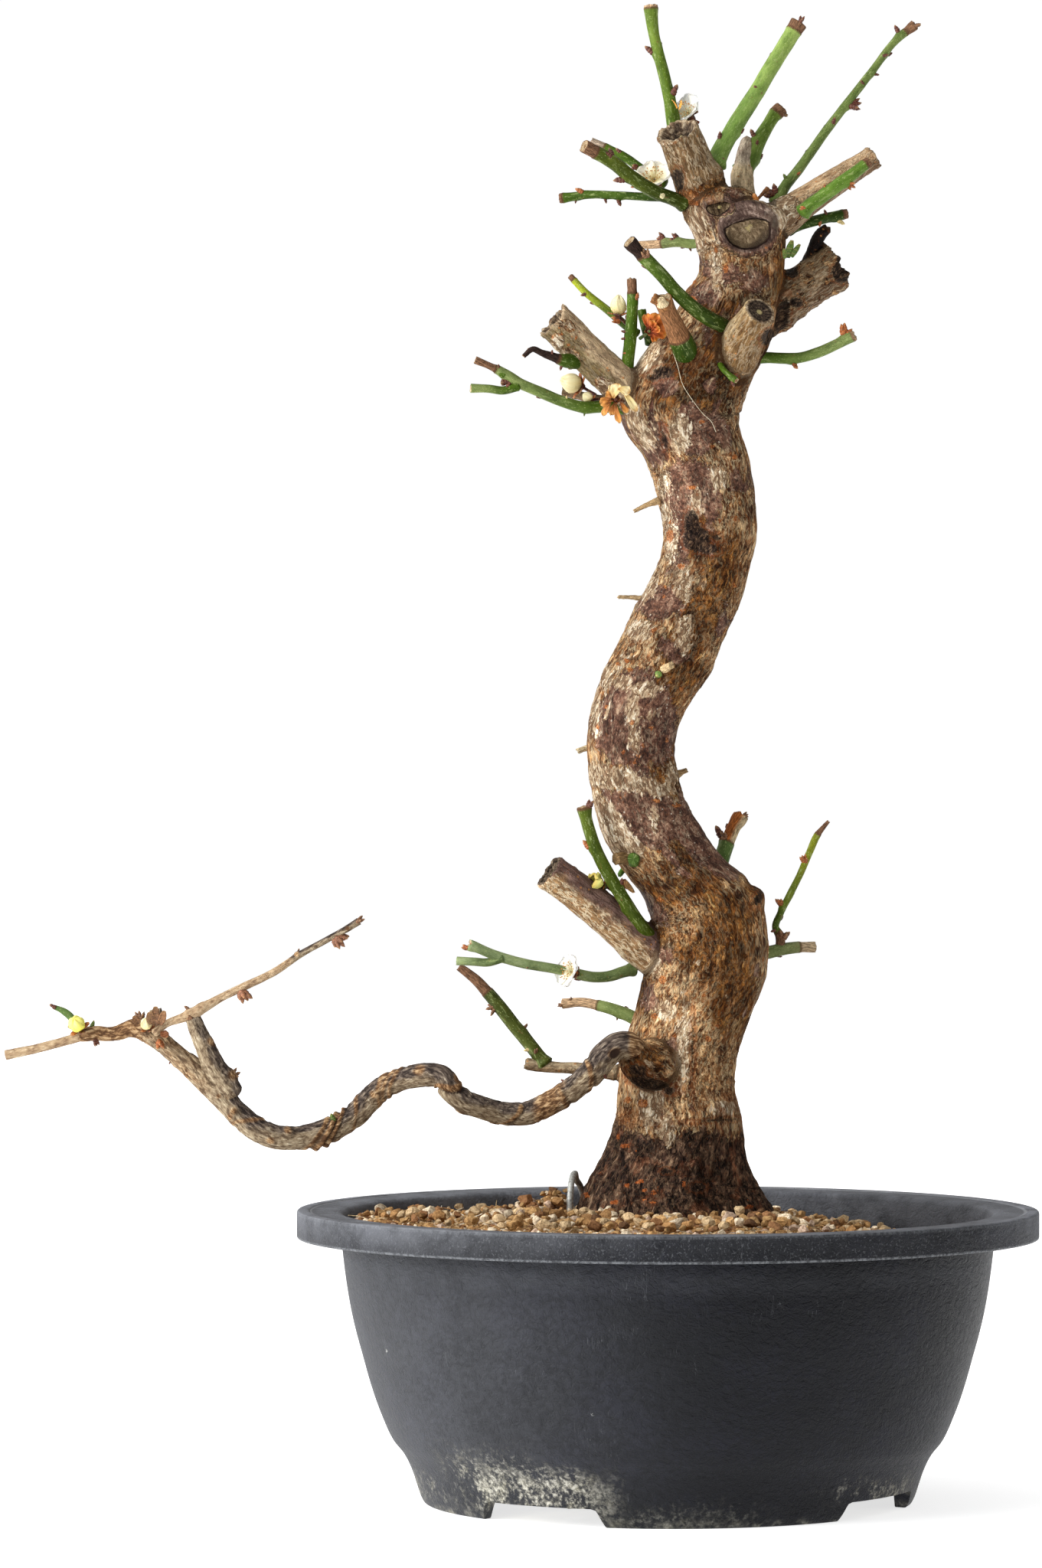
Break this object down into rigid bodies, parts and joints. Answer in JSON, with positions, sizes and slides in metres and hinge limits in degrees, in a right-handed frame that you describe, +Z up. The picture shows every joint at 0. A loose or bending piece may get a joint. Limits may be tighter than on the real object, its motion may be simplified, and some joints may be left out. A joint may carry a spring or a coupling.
{
  "type": "japanese apricot bonsai",
  "caption": "Pruned Japanese apricot bonsai with an S-curved trunk, a long trained branch, green shoots and first blossoms, rooted in granular soil in a round dark plastic pot.",
  "frame": {"origin": "on the ground, at the middle of the overall box seen from above", "axes": "+Z up, -Y towards the front from which the trunk's curve shows, +X to the right seen from the front"},
  "size_m": [0.4169, 0.3, 0.6077],
  "materials": {
    "bark": "matte",
    "shoot_bark": "satin",
    "petals": "satin",
    "dried_petals": "matte",
    "soil_grains": "matte",
    "pot_plastic": "matte",
    "screen_plastic": "matte",
    "wire_aluminium": "satin"
  },
  "bodies": {
    "root": {"trunk": "bark", "shoot_top_left": "shoot_bark", "shoot_top_thick": "shoot_bark", "shoot_crown_back": "shoot_bark", "shoot_top_right_long": "shoot_bark", "shoot_right_front": "shoot_bark", "shoot_upper_left_thick": "shoot_bark", "shoot_upper_left_behind": "shoot_bark", "shoot_upper_left_thin": "shoot_bark", "shoot_front_curved": "shoot_bark", "shoot_front_dead_tip": "shoot_bark", "shoot_left_yellow": "shoot_bark", "shoot_left_upright": "shoot_bark", "shoot_left_short_back": "shoot_bark", "shoot_left_forked": "shoot_bark", "shoot_left_withered": "shoot_bark", "shoot_back_grey": "shoot_bark", "shoot_right_dark": "shoot_bark", "shoot_right_curved": "shoot_bark", "shoot_front_sprout": "shoot_bark", "shoot_low_upright": "shoot_bark", "shoot_low_forked": "shoot_bark", "shoot_low_short": "shoot_bark", "shoot_low_hook": "shoot_bark", "shoot_right_back": "shoot_bark", "shoot_right_stub": "shoot_bark", "shoot_right_thin": "shoot_bark", "sprout_branch_tip": "shoot_bark", "flower_crown": "petals", "flower_upper_left": "petals", "flower_left_pale": "petals", "flower_low_left": "petals", "flower_behind_shoot": "petals", "flower_withered": "dried_petals", "flower_dried": "dried_petals", "bud_left_upper": "petals", "bud_left_small": "petals", "bud_branch_tip": "petals", "bud_branch_pale": "petals", "bud_upper_left_small": "petals", "tie_wire": "wire_aluminium", "pot": "pot_plastic", "screen_centre": "screen_plastic", "screen_a": "screen_plastic", "screen_b": "screen_plastic", "screen_c": "screen_plastic", "screen_d": "screen_plastic", "soil": "soil_grains"}
  },
  "joints": []
}
